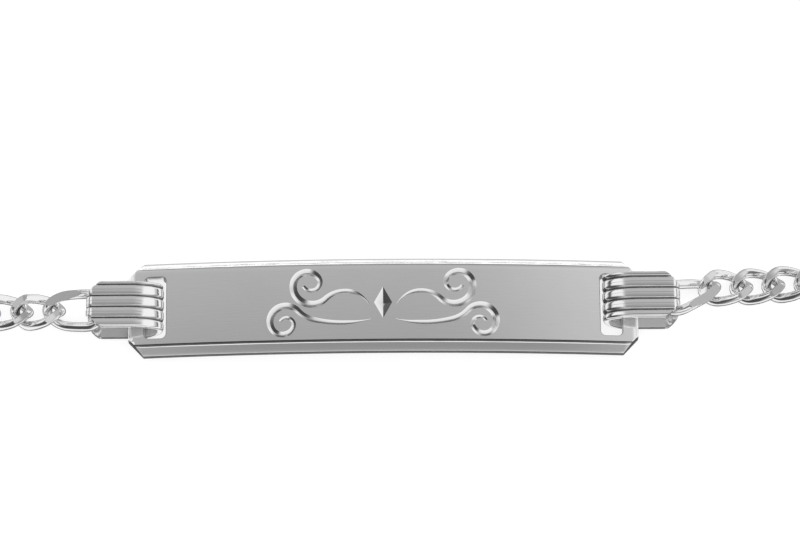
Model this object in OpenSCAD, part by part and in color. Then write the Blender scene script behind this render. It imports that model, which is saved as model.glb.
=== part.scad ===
// Identity bracelet: a bent plate with bevelled edges, carried at each end by a reeded
// strap bail, on a curb chain that closes at a clasp opposite the plate.
// X runs along the plate, Y from the plate to the clasp, Z up from the surface that it
// lies on. The origin is the middle of the bracelet's footprint, on that surface.

/* [Loop] */
// Distance from the plate's centre line to the far strand's centre line
loop_depth = 26; // [24.5:0.5:30]
// Distance from the plate's middle to the outermost point of the chain's centre line
loop_reach = 40.2; // [39:0.2:44]
// Angle at which the right end link leaves the plate's line
right_turn = 18; // [14:1:18]
// Angle at which the left end link leaves the plate's line
left_turn = 0.5; // [-4:0.5:1]
// Angle at which the right chain runs on from its end link
right_heading = 4; // [4:0.5:6]
// Angle at which the left chain runs on from its end link
left_heading = 1; // [0:0.5:4]

/* [Plate] */
// Length of the plate
plate_l = 35; // [34.6:0.1:35.4]
// Width of the plate over its bevels
plate_w = 6.68; // [6.4:0.02:7]
// Thickness of the plate
plate_t = 0.95; // [0.85:0.05:1]
// Height of the plate's bend above the line between its ends
plate_sag = 1; // [0.8:0.1:1.1]
// Width of the bevel along each long edge
bevel_w = 0.6; // [0.4:0.02:0.7]
// Depth of the bevel along each long edge
bevel_d = 0.45; // [0.3:0.05:0.5]
// Length of the cut corners along the plate
corner_l = 1.05; // [0.8:0.05:1.2]
// Width of the cut corners across the plate
corner_w = 1.15; // [0.9:0.05:1.3]
// Size of the small bevel on the plate's end edges
end_bevel = 0.22; // [0.1:0.02:0.3]
// Width of the bar between a slot and the plate's end
end_bar = 1.1; // [1:0.05:1.15]
// Length of a slot along the plate
slot_l = 1.5; // [1.5:0.05:1.6]
// Width of a slot across the plate
slot_w = 4.45; // [4.4:0.05:4.6]
// Corner radius of a slot
slot_r = 0.35; // [0.2:0.05:0.5]

/* [Engraving] */
// Depth of the engraved strokes
engrave_d = 0.12; // [0.08:0.02:0.16]
// Half length of the lozenge in the middle of the engraving
lozenge_l = 0.62; // [0.4:0.02:0.66]
// Half width of the lozenge in the middle of the engraving
lozenge_w = 1.15; // [0.8:0.05:1.3]

/* [Bails] */
// Length of a bail
bail_l = 5.3; // [5.2:0.05:5.4]
// Width of a bail
bail_w = 3.32; // [3:0.02:3.36]
// Height of a bail
bail_h = 2.9; // [2.85:0.05:3]
// Thickness of the bail's strap
strap_t = 0.45; // [0.4:0.01:0.46]
// Number of grooves between the strap's reeds
grooves = 4; // [3:1:5]
// Height of a reed
reed_h = 0.11; // [0.08:0.01:0.13]
// Width of the bail's outer end between its rounded shoulders
fold_w = 1.56; // [1.5:0.02:1.84]
// Width of the fold's upright wall, which the end link passes on both sides
neck_w = 0.82; // [0.78:0.02:0.84]
// Length of the rounded shoulders beside the fold
shoulder_l = 0.9; // [0.7:0.05:0.9]
// Fullness of the shoulders' curve, from straight to square
shoulder_power = 1.25; // [1.2:0.05:2]
// Length of the upper strap's straight outer end past its shoulders
nose_l = 0.2; // [0.1:0.05:0.3]
// Outer radius of the fold
fold_r = 0.5; // [0.5:0.05:0.6]
// How far the right bail is pushed across the plate in its slot
right_shift = 0.39; // [0:0.01:0.39]
// How far the left bail is pushed across the plate in its slot
left_shift = -0.06; // [-0.3:0.02:0.3]

/* [Chain] */
// Radius of the chain's wire
wire_r = 0.35; // [0.32:0.01:0.36]
// Half length of a link's centre line
link_a = 1.6; // [1.58:0.01:1.65]
// Half width of a link's centre line
link_b = 0.94; // [0.92:0.01:0.98]
// Spacing of the links that the chain is fitted to
link_pitch = 2.25; // [2.22:0.01:2.28]
// Twist of a link along its length, in degrees for each millimetre
link_twist = 34; // [32:1:36]
// Height of the flat cut faces above the middle of the chain
facet_h = 0.7; // [0.68:0.01:0.76]
// Half length of the centre line of the end link at each bail
end_link_a = 2; // [2:0.01:2.05]
// Half width of the centre line of the end link at each bail
end_link_b = 1.13; // [1.12:0.01:1.2]
// Length of each rounded end of the end link's centre line
end_link_r = 1.3; // [1.1:0.05:1.4]
// Height at which the end links meet the bails and the jump rings
end_z = 1.35; // [1.3:0.05:1.4]

/* [Clasp] */
// Distance between the two eyes of the clasp
clasp_eyes = 5.2; // [5:0.1:6]
// Radius of the clasp's small eye
tail_hole = 0.78; // [0.76:0.01:0.8]
// Radius of the clasp's large eye
hook_hole = 1.15; // [1.1:0.05:1.2]
// Width of the metal round each eye
eye_bar = 0.6; // [0.56:0.02:0.62]
// Thickness of the clasp in its middle
clasp_t = 3; // [2.8:0.1:3]
// Thickness of the flat tabs at the clasp's ends
tab_t = 1; // [0.9:0.05:1]
// Radius of a jump ring's centre line
ring_r = 1.7; // [1.68:0.01:1.74]

/* [Hidden] */
$fn = 64;
eps = 0.01;
metal = "silver";

// How far a cutter reaches past the piece that it cuts
past = 1;

// Clear space between neighbouring pieces, and between the chain and the surface
gap = 0.1;
floor_gap = 0.065;

// The plate's ends hang just above the backs of the bails
plate_low = strap_t + gap;
plate_end_top = plate_low + plate_t;
plate_top = plate_end_top + plate_sag;
bend_r = (pow(plate_l / 2, 2) + pow(plate_sag, 2)) / (2 * plate_sag);
bend_half = asin((plate_l / 2 + past) / bend_r);
face_w = plate_w - 2 * bevel_w;
slot_x = plate_l / 2 - end_bar - slot_l / 2;

// A bail loops round the end bar and reaches out past the plate's end
slot_play = 0.15;
bail_start = slot_x - slot_l / 2 + slot_play;
bail_end = bail_start + bail_l;
bend_out = bail_h / 2;
reed_pitch = bail_w / grooves;
reed_r = (pow(reed_pitch / 2, 2) + pow(reed_h, 2)) / (2 * reed_h);

// The far strand, the clasp and the jump rings
clasp_z = clasp_t / 2;
ring_z = ring_r + wire_r;
tail_r = tail_hole + eye_bar;
hook_r = hook_hole + eye_bar;
clasp_half = (clasp_eyes + tail_r + hook_r) / 2;
tip_drop = ring_z - end_z;
tip_reach = ring_r - 2 * wire_r - gap;
tip_x = sqrt(pow(tip_reach, 2) - pow(tip_drop, 2));
chain_end_x = clasp_half + tip_x;
lens_half = clasp_half - eye_bar - gap;
lens_r = (pow(lens_half, 2) + pow((clasp_t - tab_t) / 2, 2)) / (clasp_t - tab_t);
origin_y = (loop_depth + hook_r - plate_w / 2) / 2;

// The end link's tip lies inside the bail, and turns about a point in the bail's fold
tip_in = 1.25;
hinge_in = 0.8;
end_link_tip = bail_end - tip_in;
hinge_x = bail_end - hinge_in;

// Places of the first two links along the run, and of the point between them about which
// the second turns
first_s = end_link_tip + end_link_a - hinge_x;
second_s = first_s + link_pitch + end_link_a - link_a;
end_run = (first_s + end_link_a + second_s - link_a) / 2;

// Each row is one half of the bracelet: its side, how far its bail is pushed across
// the plate, and the angles of its end link and of its chain to the plate's line
SIDE = 0;
SHIFT = 1;
TURN = 2;
HEADING = 3;
left_half = [-1, left_shift, left_turn, left_heading];
right_half = [1, right_shift, right_turn, right_heading];

// A half's run goes straight from its hinge point in the bail along the end link, bends
// there, goes straight on, turns through a round bend and comes straight back. The middle
// straight length and the bend's radius follow from the loop's depth and reach.
function run_start(half) =
    [hinge_x, half[SHIFT]] + end_run * [cos(half[TURN]), sin(half[TURN])];
function run_reach(half) = loop_reach - run_start(half)[0];
function run_depth(half) = loop_depth - run_start(half)[1];
function run_det(h) = sin(h) * (1 - sin(h)) - (1 + cos(h)) * cos(h);
function near_run(half) =
    let (h = half[HEADING])
    (run_depth(half) * (1 - sin(h)) - run_reach(half) * (1 + cos(h))) / run_det(h);
function turn_r(half) =
    let (h = half[HEADING])
    (run_reach(half) * sin(h) - run_depth(half) * cos(h)) / run_det(h);
function turn_run(half) = turn_r(half) * (180 - half[HEADING]) * PI / 180;
function turn_centre(half) =
    let (h = half[HEADING])
    run_start(half) + near_run(half) * [cos(h), sin(h)] + turn_r(half) * [-sin(h), cos(h)];
function far_run(half) = turn_centre(half)[0] - chain_end_x;
function whole_run(half) = end_run + near_run(half) + turn_run(half) + far_run(half);

// Direction and place on a half's run at a distance s from its hinge point
function run_heading(half, s) =
    let (past_near = s - end_run - near_run(half))
    s < end_run ? half[TURN]
    : half[HEADING] + max(0, min(past_near, turn_run(half))) / turn_r(half) * 180 / PI;
function run_point(half, s) =
    let (h = half[HEADING], e = half[TURN], a = run_heading(half, s), near = s - end_run,
         past_near = near - near_run(half), past_turn = past_near - turn_run(half))
    near < 0 ? [hinge_x, half[SHIFT]] + s * [cos(e), sin(e)]
    : past_near < 0 ? run_start(half) + near * [cos(h), sin(h)]
    : past_turn < 0 ? turn_centre(half) + turn_r(half) * [sin(a), -cos(a)]
    : turn_centre(half) + [-past_turn, turn_r(half)];

// The chain lies on its flat faces and climbs over its last links to the bail and the ring
chain_z = facet_h + floor_gap;
climb = 7;
function smooth(t) = let (u = max(0, min(1, t))) u * u * (3 - 2 * u);
function run_z(half, s) =
    chain_z + (end_z - chain_z) * (2 - smooth(s / climb)
                                   - smooth((whole_run(half) - s) / climb));

// Each row is one kind of link: its centre line's half length, half width and length of
// each rounded end, its twist at the end nearer the bail and at the other end, and its
// facet height
LENGTH = 0;
WIDTH = 1;
ROUND = 2;
TWIST_IN = 3;
TWIST_OUT = 4;
FACET = 5;
full_twist = link_twist * link_a;
end_twist = -60;
end_facet_h = 0.8;
end_link = [end_link_a, end_link_b, end_link_r, 0, end_twist, end_facet_h];
curb_link = [link_a, link_b, link_b, full_twist, -full_twist, facet_h];
last_link = [link_a, link_b, link_b, full_twist, 0, facet_h];

// Places of the links along a half's run
function last_s(half) = whole_run(half) - link_a;
function link_count(half) = round((last_s(half) - second_s) / link_pitch);
function link_s(half, i) =
    i == 0 ? first_s : second_s + (i - 1) * (last_s(half) - second_s) / link_count(half);

// A link is a ring of wire sections. Its two cut faces are where the wire stands higher than
// the facets: what is over them is squashed to a tenth of its height.
segments = 14;
sides = 6;
squash = 0.1;
function oval(kind, t) =
    [sign(cos(t)) * (kind[LENGTH] - kind[ROUND]) + kind[ROUND] * cos(t), kind[WIDTH] * sin(t)];
function outward(kind, t) =
    let (out = [kind[WIDTH] * cos(t), kind[ROUND] * sin(t)])
    out / norm(out);
function twisted(kind, p) =
    let (a = kind[TWIST_IN] + (kind[TWIST_OUT] - kind[TWIST_IN])
             * (p[0] + kind[LENGTH]) / (2 * kind[LENGTH]))
    [p[0], p[1] * cos(a) - p[2] * sin(a), p[1] * sin(a) + p[2] * cos(a)];
function faceted(kind, p) =
    let (over = abs(p[2]) - kind[FACET])
    over <= 0 ? p : [p[0], p[1], sign(p[2]) * (kind[FACET] + squash * over)];
function wire_point(kind, t, u) =
    let (c = oval(kind, t) + wire_r * cos(u) * outward(kind, t))
    faceted(kind, twisted(kind, [c[0], c[1], wire_r * sin(u)]));

// A point of a link, set into the bracelet at a distance s along a half's run
function set_point(half, s, p) =
    let (at = run_point(half, s), a = run_heading(half, s), step = 0.05,
         rise = atan((run_z(half, s + step) - run_z(half, s - step)) / (2 * step)),
         along = [cos(a) * cos(rise), sin(a) * cos(rise), sin(rise)],
         across = [-sin(a), cos(a), 0],
         up = cross(along, across),
         q = [at[0], at[1], run_z(half, s)] + p[0] * along + half[SIDE] * p[1] * across + p[2] * up)
    [half[SIDE] * q[0], q[1] - origin_y, q[2]];
function link_points(half, s, kind) =
    [for (i = [0:segments - 1], j = [0:sides - 1])
        set_point(half, s, wire_point(kind, i * 360 / segments, j * 360 / sides))];
function corner_index(i, j) = (i % segments) * sides + (j % sides);
link_faces = [for (i = [0:segments - 1], j = [0:sides - 1], corner = [0, 1])
    corner == 0 ? [corner_index(i, j), corner_index(i, j + 1), corner_index(i + 1, j)]
                : [corner_index(i, j + 1), corner_index(i + 1, j + 1), corner_index(i + 1, j)]];

module chain(half) {
    last = link_count(half) + 1;
    points = [for (i = [0:last])
        each link_points(half, link_s(half, i),
                         i == 0 ? end_link : i == last ? last_link : curb_link)];
    faces = [for (i = [0:last], f = link_faces)
        [for (index = f) index + i * segments * sides]];
    color(metal) polyhedron(points, faces);
}

// Everything on the plate's own centre line is drawn there and moved to its place
module on_plate_line() {
    translate([0, -origin_y, 0]) children();
}

module rounded_slot(l, w, r) {
    square([l - 2 * r, w], center = true);
    square([l, w - 2 * r], center = true);
    for (x = [-1, 1], y = [-1, 1])
        translate([x * (l / 2 - r), y * (w / 2 - r)]) circle(r);
}

// A band swept round the plate's bend, whose section is drawn from the face downwards
module bent_band(section) {
    translate([0, 0, plate_top - bend_r]) rotate([90, 0, 0])
        rotate_extrude(angle = 2 * bend_half, start = 90 - bend_half)
            translate([bend_r, 0]) polygon(section);
}

module plate_outline() {
    x = plate_l / 2;
    y = plate_w / 2;
    polygon([[-x, corner_w - y], [corner_l - x, -y], [x - corner_l, -y], [x, corner_w - y],
             [x, y - corner_w], [x - corner_l, y], [corner_l - x, y], [-x, y - corner_w]]);
}

module end_bevel_outline() {
    x = plate_l / 2;
    z = plate_end_top - end_bevel;
    rise = 3;
    polygon([[-x, -past], [x, -past], [x, z], [x - rise, z + rise], [rise - x, z + rise], [-x, z]]);
}

// Each row is one arc of a scroll: radius, sweep (left turns positive) and stroke width
RADIUS = 0;
SWEEP = 1;
STROKE = 2;
scroll_start = [0.95, -0.1, 60];
scroll = [[1.9, -105, 0.2], [1.3, 150, 0.34], [0.95, 130, 0.36], [0.6, 190, 0.24]];
vine_start = [0.85, -1.2, -14];
vine = [[8, 28, 0.2], [2.2, 34, 0.26], [1.1, -170, 0.34], [0.8, -130, 0.3], [0.5, -170, 0.2]];
// How far an arc is cut past both of its ends, in degrees, and the radius of a stroke's tip
overrun = 1;
stroke_end = 0.3;

// A stroke's pen is its place and direction: [x, y, heading]
function arc_centre(pen, row) =
    let (turn = sign(row[SWEEP]))
    [pen[0] - turn * row[RADIUS] * sin(pen[2]), pen[1] + turn * row[RADIUS] * cos(pen[2])];
function arc_from(pen, row) = pen[2] - 90 * sign(row[SWEEP]);
function arc_end(pen, row) =
    let (c = arc_centre(pen, row), a = arc_from(pen, row) + row[SWEEP])
    [c[0] + row[RADIUS] * cos(a), c[1] + row[RADIUS] * sin(a), pen[2] + row[SWEEP]];
function pen_at(pen, rows, i) = i == 0 ? pen : arc_end(pen_at(pen, rows, i - 1), rows[i - 1]);

// An upright wall along one arc, which runs a little past both of its ends
module stroke_arc(pen, row) {
    c = arc_centre(pen, row);
    a = arc_from(pen, row);
    engraved() translate([c[0], c[1], 0])
        rotate_extrude(angle = abs(row[SWEEP]) + 2 * overrun, start = min(a, a + row[SWEEP]) - overrun)
            translate([row[RADIUS] - row[STROKE] / 2, 0]) square([row[STROKE], plate_top + past]);
}

module strokes(start, rows) {
    for (i = [0:len(rows) - 1]) stroke_arc(pen_at(start, rows, i), rows[i]);
    tip = pen_at(start, rows, len(rows));
    engraved() translate([tip[0], tip[1], 0]) cylinder(r = stroke_end, h = plate_top + past);
}

// The part of a cutter that lies between the plate's face and the engraved depth
module engraved() {
    intersection() {
        bent_band([[-engrave_d, -face_w / 2], [past, -face_w / 2],
                   [past, face_w / 2], [-engrave_d, face_w / 2]]);
        children();
    }
}

module plate() {
    y = plate_w / 2;
    f = face_w / 2;
    color(metal) on_plate_line() difference() {
        intersection() {
            bent_band([[-plate_t, -y], [-bevel_d, -y], [0, -f], [0, f], [-bevel_d, y], [-plate_t, y]]);
            translate([0, 0, -past]) linear_extrude(plate_top + 2 * past) plate_outline();
            translate([0, plate_w, 0]) rotate([90, 0, 0])
                linear_extrude(2 * plate_w) end_bevel_outline();
        }
        for (side = [-1, 1])
            translate([side * slot_x, 0, -past])
                linear_extrude(plate_top + 2 * past) rounded_slot(slot_l, slot_w, slot_r);
        for (side = [0, 1]) mirror([side, 0, 0]) {
            strokes(scroll_start, scroll);
            strokes(vine_start, vine);
        }
        engraved() linear_extrude(plate_top + past)
            polygon([[-lozenge_l, 0], [0, -lozenge_w], [lozenge_l, 0], [0, lozenge_w]]);
    }
}

// Section of the bail's strap, from its inner face outwards along X
module plain_section() {
    translate([0, -bail_w / 2]) square([strap_t, bail_w]);
}

module reeded_section() {
    translate([0, -bail_w / 2]) square([strap_t - reed_h, bail_w]);
    intersection() {
        translate([eps, -bail_w / 2]) square([strap_t, bail_w]);
        for (i = [0:grooves])
            translate([strap_t - reed_r, i * reed_pitch - bail_w / 2]) circle(reed_r);
    }
}

// A bend of the strap round a line along Y, in the upright plane through X
module strap_bend(x, z, inner, from, sweep) {
    translate([x, 0, z]) rotate([90, 0, 0])
        rotate_extrude(angle = sweep, start = from) translate([inner, 0]) children();
}

// A flat stretch of the strap along X, with its outer face up
module strap_flat(x0, x1, z) {
    translate([x1, 0, z]) rotate([0, -90, 0]) linear_extrude(x1 - x0) children();
}

// The cut beside the fold follows a curve that starts along the strap and ends across it
shoulder_steps = 5;
module bail_shoulder(nose) {
    w = (bail_w - fold_w) / 2;
    power = shoulder_power;
    nose_x = bail_end - nose;
    curve = [for (i = [0:shoulder_steps])
        let (t = i / shoulder_steps)
        [nose_x - shoulder_l * (1 - t), fold_w / 2 + w * pow(1 - pow(t, power), 1 / power)]];
    polygon([each curve, [bail_end + past, fold_w / 2], [bail_end + past, bail_w],
             [nose_x - shoulder_l, bail_w]]);
}

// A bail as it stands on the right of the plate
module bail() {
    bend_x = bail_start + bend_out;
    fold_x = bail_end - fold_r;
    fold_in = fold_r - strap_t;
    upright = bail_h - 2 * fold_r;
    color(metal) difference() {
        union() {
            strap_bend(bend_x, bend_out, bend_out - strap_t, 90, 180) reeded_section();
            strap_flat(bend_x, fold_x, bail_h - strap_t) reeded_section();
            strap_bend(fold_x, bail_h - fold_r, fold_in, 0, 90) reeded_section();
            translate([fold_x + fold_in, 0, fold_r]) linear_extrude(upright) reeded_section();
            strap_bend(fold_x, fold_r, fold_in, 270, 90) plain_section();
            strap_flat(bend_x, fold_x, 0) plain_section();
        }
        for (side = [0, 1]) mirror([0, side, 0]) {
            translate([0, 0, -past]) linear_extrude(past + bail_h / 2) bail_shoulder(0);
            translate([0, 0, bail_h / 2]) linear_extrude(bail_h / 2 + past) bail_shoulder(nose_l);
            translate([fold_x, neck_w / 2, fold_r]) cube([2 * fold_r, bail_w, upright]);
        }
    }
}

module bail_right() {
    on_plate_line() translate([0, right_half[SHIFT], 0]) bail();
}

module bail_left() {
    on_plate_line() translate([0, left_half[SHIFT], 0]) mirror([1, 0, 0]) bail();
}

module chain_left() {
    chain(left_half);
}

module chain_right() {
    chain(right_half);
}

module jump_ring(x) {
    color(metal) translate([x, loop_depth - origin_y, ring_z]) rotate([90, 0, 0])
        rotate_extrude() translate([ring_r, 0]) circle(wire_r);
}

module jump_ring_left() {
    jump_ring(-clasp_half);
}

module jump_ring_right() {
    jump_ring(clasp_half);
}

// The clasp's upright block: two round ends joined by straight sides, whose corners lie
// just inside the round ends
module clasp_block(tail_x, hook_x) {
    a = acos((tail_r - hook_r) / clasp_eyes);
    tail = tail_r - 2 * eps;
    hook = hook_r - 2 * eps;
    union() {
        translate([tail_x, 0, -past]) cylinder(r = tail_r, h = clasp_t + 2 * past);
        translate([hook_x, 0, -past]) cylinder(r = hook_r, h = clasp_t + 2 * past);
        translate([0, 0, -past]) linear_extrude(clasp_t + 2 * past)
            polygon([[tail_x + tail * cos(a), tail * sin(a)], [hook_x + hook * cos(a), hook * sin(a)],
                     [hook_x + hook * cos(a), -hook * sin(a)], [tail_x + tail * cos(a), -tail * sin(a)]]);
    }
}

// The clasp's side outline: a swelling body with a flat tab at each end
module clasp_side() {
    union() {
        intersection() {
            translate([0, lens_r - clasp_t / 2]) circle(lens_r);
            translate([0, clasp_t / 2 - lens_r]) circle(lens_r);
        }
        square([2 * (clasp_half + past), tab_t], center = true);
    }
}

module clasp() {
    tail_x = tail_r - clasp_half;
    hook_x = clasp_half - hook_r;
    color(metal) translate([0, loop_depth - origin_y, 0]) difference() {
        intersection() {
            clasp_block(tail_x, hook_x);
            translate([0, 2 * hook_r, clasp_z]) rotate([90, 0, 0])
                linear_extrude(4 * hook_r) clasp_side();
        }
        translate([tail_x, 0, -past]) cylinder(r = tail_hole, h = clasp_t + 2 * past);
        translate([hook_x, 0, -past]) cylinder(r = hook_hole, h = clasp_t + 2 * past);
    }
}

plate();
bail_left();
bail_right();
chain_left();
chain_right();
jump_ring_left();
jump_ring_right();
clasp();
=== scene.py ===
"""An engraved identity bracelet in polished silver, lying closed on a pale surface.

All sizes are in millimetres, and a finished mesh is scaled to metres. X runs along the plate,
Y from the plate to the clasp, and Z up from the surface.
"""
import logging
import math
from dataclasses import dataclass
from enum import Enum
from typing import Iterable, Sequence

import bmesh
import bpy
from bmesh.types import BMEdge, BMesh, BMVert
from mathutils import Matrix, Vector


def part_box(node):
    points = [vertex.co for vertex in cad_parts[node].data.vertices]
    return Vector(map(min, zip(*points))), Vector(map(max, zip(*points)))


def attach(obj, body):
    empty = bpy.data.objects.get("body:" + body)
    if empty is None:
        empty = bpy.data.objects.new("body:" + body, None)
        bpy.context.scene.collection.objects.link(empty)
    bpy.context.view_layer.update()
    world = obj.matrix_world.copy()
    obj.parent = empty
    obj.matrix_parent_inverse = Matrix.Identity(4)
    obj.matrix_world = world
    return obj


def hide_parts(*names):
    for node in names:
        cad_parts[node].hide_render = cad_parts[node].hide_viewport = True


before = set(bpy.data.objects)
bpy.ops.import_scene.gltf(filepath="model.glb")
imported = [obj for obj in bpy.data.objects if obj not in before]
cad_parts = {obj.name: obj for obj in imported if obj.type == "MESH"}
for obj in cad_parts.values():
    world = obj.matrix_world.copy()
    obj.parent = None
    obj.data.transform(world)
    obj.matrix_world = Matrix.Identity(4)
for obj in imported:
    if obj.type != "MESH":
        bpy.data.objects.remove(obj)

# A millimetre in metres, how near two places count as one, how near two points are welded, how
# near a point counts as on a plane, and how far a cutter reaches past what it cuts
MM = 0.001
CLOSE = 0.001
WELD = 0.0005
ON_PLANE = 0.00001
CUTTER_PAST = 0.5
BODY = "root"
# The mark of painted shade: how far a place's colour is darkened toward a dark grey that stands in for
# shadow and dark reflections
PAINTED_SHADE = "painted_shade"
SATIN = "satin"

log = logging.getLogger("bracelet")


class Side(Enum):
    """The two halves of the bracelet, seen from above with the plate nearest."""

    LEFT = -1
    RIGHT = 1

    @property
    def label(self) -> str:
        """The word that ends a piece's name."""
        return self.name.lower()


# Numbers and node graphs


def smooth(t: float) -> float:
    """Eases a share from 0 to 1.

    Args:
        t: The share, which may lie outside 0 to 1.

    Returns:
        The eased share, from 0 to 1.
    """
    u = max(0.0, min(1.0, t))
    return u * u * (3 - 2 * u)


def ease(value: float, low: float, high: float) -> float:
    """Eases from 0 to 1 as a value goes from low to high, which may be the smaller."""
    return smooth((value - low) / (high - low))


def direction(angle_deg: float) -> Vector:
    """The direction at an angle to the plate's line, seen from above."""
    return Vector((math.cos(math.radians(angle_deg)), math.sin(math.radians(angle_deg))))


def spread(low: float, high: float, steps: int) -> list[float]:
    """Even steps from low to high, with both ends.

    Args:
        low: The first number.
        high: The last number.
        steps: How many gaps lie between them.

    Returns:
        The numbers in order.
    """
    return [low + (high - low) * i / steps for i in range(steps + 1)]


class Sock:
    """A node's output that Python's own operators work on."""

    def __init__(self, graph: "Graph", socket: bpy.types.NodeSocket) -> None:
        """Wraps one output socket.

        Args:
            graph: The graph that the socket's node is in.
            socket: The output socket.
        """
        self.graph = graph
        self.socket = socket

    def math(self, operation: str, *others: "Sock | float", clamp: bool = False) -> "Sock":
        """Adds a Math node that starts with this output.

        Args:
            operation: The Math node's operation.
            others: Its other inputs.
            clamp: Whether the result is kept from 0 to 1.

        Returns:
            The Math node's output.
        """
        values = dict(enumerate((self, *others)))
        return self.graph.out("ShaderNodeMath", {"operation": operation, "use_clamp": clamp}, values)

    def __add__(self, other: "Sock | float") -> "Sock":
        """This output plus another."""
        return self.math("ADD", other)

    def __radd__(self, other: float) -> "Sock":
        """A number plus this output."""
        return self.math("ADD", other)

    def __sub__(self, other: "Sock | float") -> "Sock":
        """This output less another."""
        return self.math("SUBTRACT", other)

    def __rsub__(self, other: float) -> "Sock":
        """A number less this output."""
        return (self * -1.0).math("ADD", other)

    def __mul__(self, other: "Sock | float") -> "Sock":
        """This output times another."""
        return self.math("MULTIPLY", other)

    def __rmul__(self, other: float) -> "Sock":
        """A number times this output."""
        return self.math("MULTIPLY", other)

    def __abs__(self) -> "Sock":
        """This output without its sign."""
        return self.math("ABSOLUTE")

    def step(self, low: float, high: float) -> "Sock":
        """Eases from 0 to 1 as this output goes from low to high.

        Args:
            low: Where the result is 0.
            high: Where the result is 1. It may be the smaller.

        Returns:
            The eased share.
        """
        settings = {"interpolation_type": "SMOOTHSTEP"}
        if low < high:
            return self.graph.out("ShaderNodeMapRange", settings, {0: self, 1: low, 2: high})
        return 1.0 - self.graph.out("ShaderNodeMapRange", settings, {0: self, 1: high, 2: low})

    def toward(self, other: "Sock | float", share: "Sock | float") -> "Sock":
        """Moves this output toward another by a share.

        Args:
            other: What a share of 1 gives.
            share: How far to go, from 0 to 1.

        Returns:
            The mixed output.
        """
        return self.graph.out("ShaderNodeMix", {"data_type": "FLOAT"}, {0: share, 2: self, 3: other})


class Graph:
    """A node tree that one method adds nodes to."""

    def __init__(self, tree: bpy.types.NodeTree) -> None:
        """Empties a tree and takes it over.

        Args:
            tree: The node tree of a material or a world.
        """
        self.tree = tree
        tree.nodes.clear()

    def add(self, kind: str, settings: dict | None = None, sockets: dict | None = None) -> bpy.types.Node:
        """Adds a node, sets it up and feeds it.

        Args:
            kind: The node's type.
            settings: Its properties by name, set before its sockets. "stops" is a ramp's stops.
            sockets: Values or outputs by the name or place of the input that they go into.

        Returns:
            The node.
        """
        node = self.tree.nodes.new(kind)
        for name, value in (settings or {}).items():
            if name == "stops":
                self.set_stops(node.color_ramp, value)
            else:
                setattr(node, name, value)
        for key, value in (sockets or {}).items():
            if isinstance(value, Sock):
                self.tree.links.new(value.socket, node.inputs[key])
            else:
                node.inputs[key].default_value = value
        return node

    def out(self, kind: str, settings: dict | None = None, sockets: dict | None = None,
            output: str | int = 0) -> Sock:
        """Adds a node and gives one of its outputs.

        Args:
            kind: The node's type.
            settings: Its properties by name.
            sockets: Values or outputs by input.
            output: The output's name or place.

        Returns:
            The wrapped output.
        """
        node = self.add(kind, settings, sockets)
        if kind == "ShaderNodeMix" and node.data_type == "RGBA":
            output = 2
        return Sock(self, node.outputs[output])

    @staticmethod
    def set_stops(ramp: bpy.types.ColorRamp, stops: Sequence[tuple[float, float]]) -> None:
        """Gives a ramp its grey stops.

        Args:
            ramp: The ramp.
            stops: Each stop's place, from 0 to 1, and its grey value.
        """
        ramp.interpolation = "LINEAR"
        while len(ramp.elements) < len(stops):
            ramp.elements.new(0.5)
        for element, (place, grey) in zip(ramp.elements, stops):
            element.position = place
            element.color = (grey, grey, grey, 1.0)


# Finishes


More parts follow.
